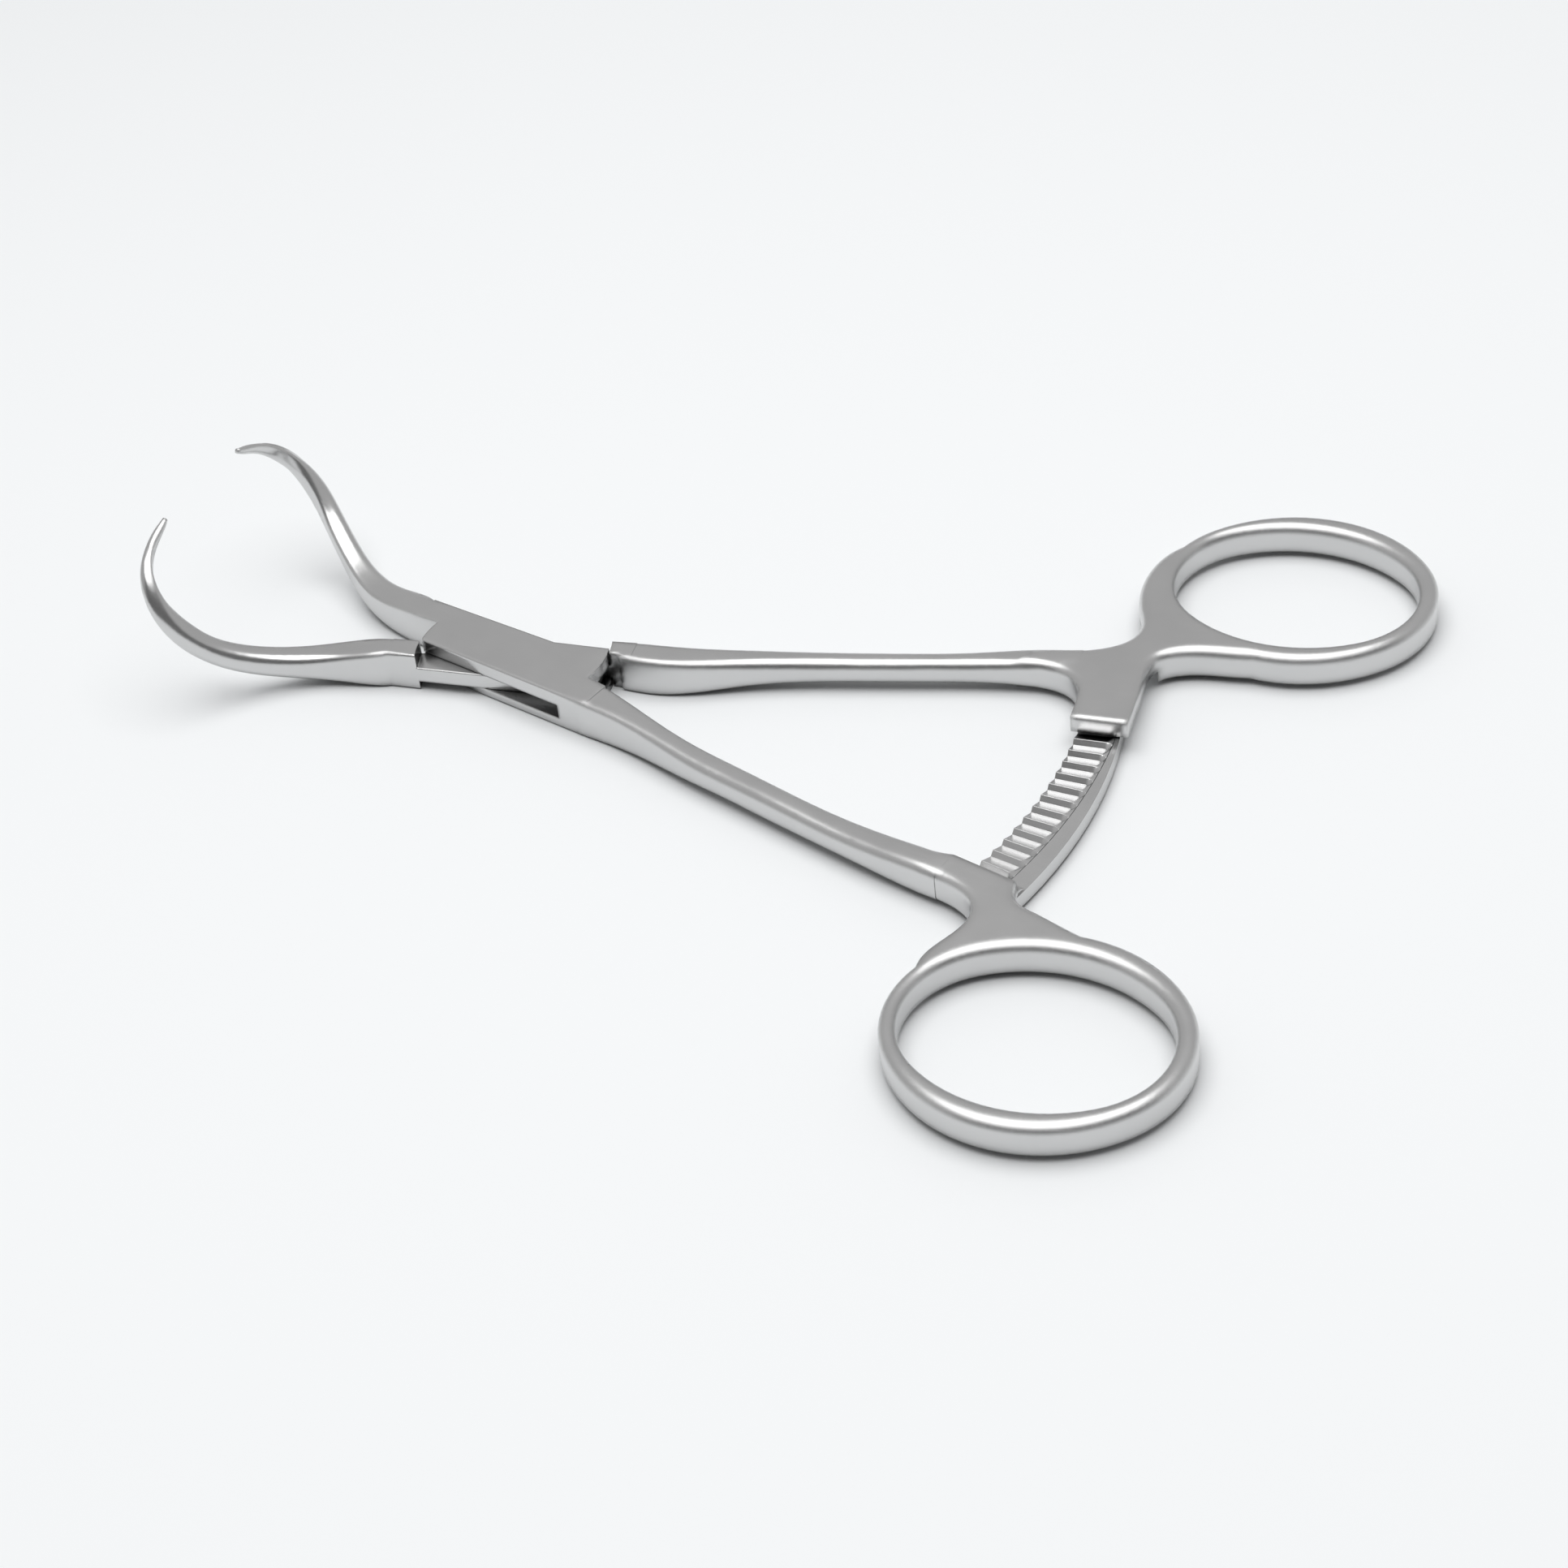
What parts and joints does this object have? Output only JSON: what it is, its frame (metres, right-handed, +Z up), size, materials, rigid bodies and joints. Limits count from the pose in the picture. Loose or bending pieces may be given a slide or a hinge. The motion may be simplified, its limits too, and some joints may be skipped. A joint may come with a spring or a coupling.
{
  "type": "reduction forceps",
  "caption": "Pointed bone reduction forceps with a box lock, curved jaws, finger rings and a long curved ratchet that overlaps a short toothed tab.",
  "frame": {"origin": "on the lock pin's axis, at the flat underside of the box", "axes": "+X from the lock towards the finger rings, along the middle of the angle between the half open handles; +Y towards the ring of the male half; +Z up from the flat side, the way the jaws curve"},
  "size_m": [0.1196, 0.0944, 0.0174],
  "materials": {
    "box_half": "satin flats with polished rounded edges",
    "male_half": "satin flats with polished rounded edges",
    "lock_pin": "satin, ground flush with the box"
  },
  "bodies": {
    "box_side": {"box_half": "box_half", "lock_pin": "lock_pin"},
    "male_side": {"male_half": "male_half"}
  },
  "joints": [
    {"name": "lock_hinge", "type": "hinge", "parent": "box_side", "child": "male_side", "pos_m": [0, 0, 0.0021], "axis": [0, 0, 1], "range_deg": [-20, 35]}
  ]
}
